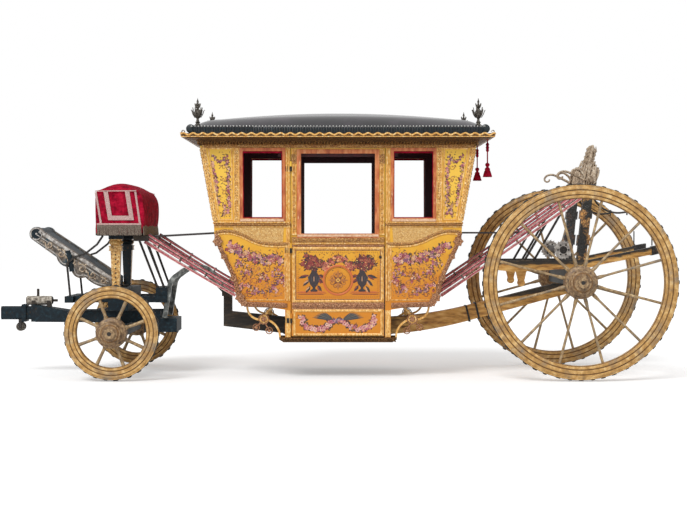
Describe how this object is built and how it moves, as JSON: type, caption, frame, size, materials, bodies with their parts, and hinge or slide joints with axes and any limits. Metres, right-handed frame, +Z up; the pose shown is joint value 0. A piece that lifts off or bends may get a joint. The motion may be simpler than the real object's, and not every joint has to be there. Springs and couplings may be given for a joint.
{
  "type": "state coach",
  "caption": "Carved and gilded state coach: a closed body slung on leather straps over a perch, with tall rear wheels and a steered fore-carriage.",
  "frame": {"origin": "floor level, below the middle of the whole length and width", "axes": "+X towards the rear of the coach, +Y towards its right side, +Z up"},
  "size_m": [6.346, 2.148, 2.58],
  "materials": {
    "gilt_carving": "carved wood, gilded and worn",
    "painted_panel": "painted and varnished gold-ground panels",
    "ochre_wheels": "ochre paint, worn and cracked",
    "dark_paint": "dark blue-green paint, worn",
    "wrought_iron": "hammered iron, dull",
    "roof_leather": "black varnished leather",
    "strap_leather": "dyed leather, cracked, with pale edges",
    "velvet": "crimson velvet",
    "silvered_bronze": "tarnished silvered bronze",
    "dark_timber": "dark stained timber"
  },
  "bodies": {
    "carriage": {"perch": "gilt_carving", "crane_necks": "wrought_iron", "fore_platform": "dark_timber", "front_standards": "gilt_carving", "seat_frame": "dark_timber", "hammercloth": "velvet", "seat_stays": "wrought_iron", "footboard": "dark_paint", "footboard_cheeks": "gilt_carving", "rear_axle": "dark_timber", "rear_beams": "gilt_carving", "rear_standards": "gilt_carving", "rear_crest": "gilt_carving", "windlass": "wrought_iron", "front_straps": "strap_leather", "rear_straps": "strap_leather", "cabin_floor": "dark_timber", "step_wells": "painted_panel", "step_bases": "dark_timber", "end_wall_front": "painted_panel", "end_wall_rear": "painted_panel", "side_panel_front_left": "painted_panel", "side_panel_front_right": "painted_panel", "side_panel_rear_left": "painted_panel", "side_panel_rear_right": "painted_panel", "door_hinges": "wrought_iron", "benches": "dark_timber", "bench_cushions": "velvet", "cornice": "gilt_carving", "ceiling": "velvet", "roof": "roof_leather", "roof_finials": "silvered_bronze", "rear_stays": "wrought_iron", "footboard_stays": "wrought_iron", "body_scrolls": "gilt_carving", "check_straps": "strap_leather", "tassel_cord_left": "velvet", "tassel_cord_right": "velvet", "tassel_left": "velvet", "tassel_right": "velvet"},
    "fore_carriage": {"front_axle": "dark_timber", "futchells": "dark_paint", "pole_head": "wrought_iron", "turning_plate": "wrought_iron", "kingpin": "wrought_iron", "bound_bar": "dark_timber"},
    "door_left": {"door_left": "painted_panel"},
    "wheel_front_left": {"front_wheel_left": "ochre_wheels", "front_tyre_left": "wrought_iron"},
    "wheel_rear_left": {"rear_wheel_left": "ochre_wheels", "rear_tyre_left": "wrought_iron"},
    "door_right": {"door_right": "painted_panel"},
    "wheel_front_right": {"front_wheel_right": "ochre_wheels", "front_tyre_right": "wrought_iron"},
    "wheel_rear_right": {"rear_wheel_right": "ochre_wheels", "rear_tyre_right": "wrought_iron"}
  },
  "joints": [
    {"name": "steering", "type": "hinge", "parent": "carriage", "child": "fore_carriage", "pos_m": [-1.987, 0, 0.615], "axis": [0, 0, 1], "range_deg": [-45, 45]},
    {"name": "door_left_hinge", "type": "hinge", "parent": "carriage", "child": "door_left", "pos_m": [-0.363, -0.6983, 1.20906], "axis": [0, 0.0785, -0.9969], "range_deg": [0, 85]},
    {"name": "door_right_hinge", "type": "hinge", "parent": "carriage", "child": "door_right", "pos_m": [-0.363, 0.6983, 1.20906], "axis": [0, 0.0785, 0.9969], "range_deg": [0, 85]},
    {"name": "front_left_spin", "type": "hinge", "parent": "fore_carriage", "child": "wheel_front_left", "pos_m": [-1.987, -0.91, 0.44], "axis": [0, 1, 0], "continuous": true},
    {"name": "front_right_spin", "type": "hinge", "parent": "fore_carriage", "child": "wheel_front_right", "pos_m": [-1.987, 0.91, 0.44], "axis": [0, 1, 0], "continuous": true},
    {"name": "rear_left_spin", "type": "hinge", "parent": "carriage", "child": "wheel_rear_left", "pos_m": [2.273, -0.91, 0.9], "axis": [0, 1, 0], "continuous": true},
    {"name": "rear_right_spin", "type": "hinge", "parent": "carriage", "child": "wheel_rear_right", "pos_m": [2.273, 0.91, 0.9], "axis": [0, 1, 0], "continuous": true}
  ]
}
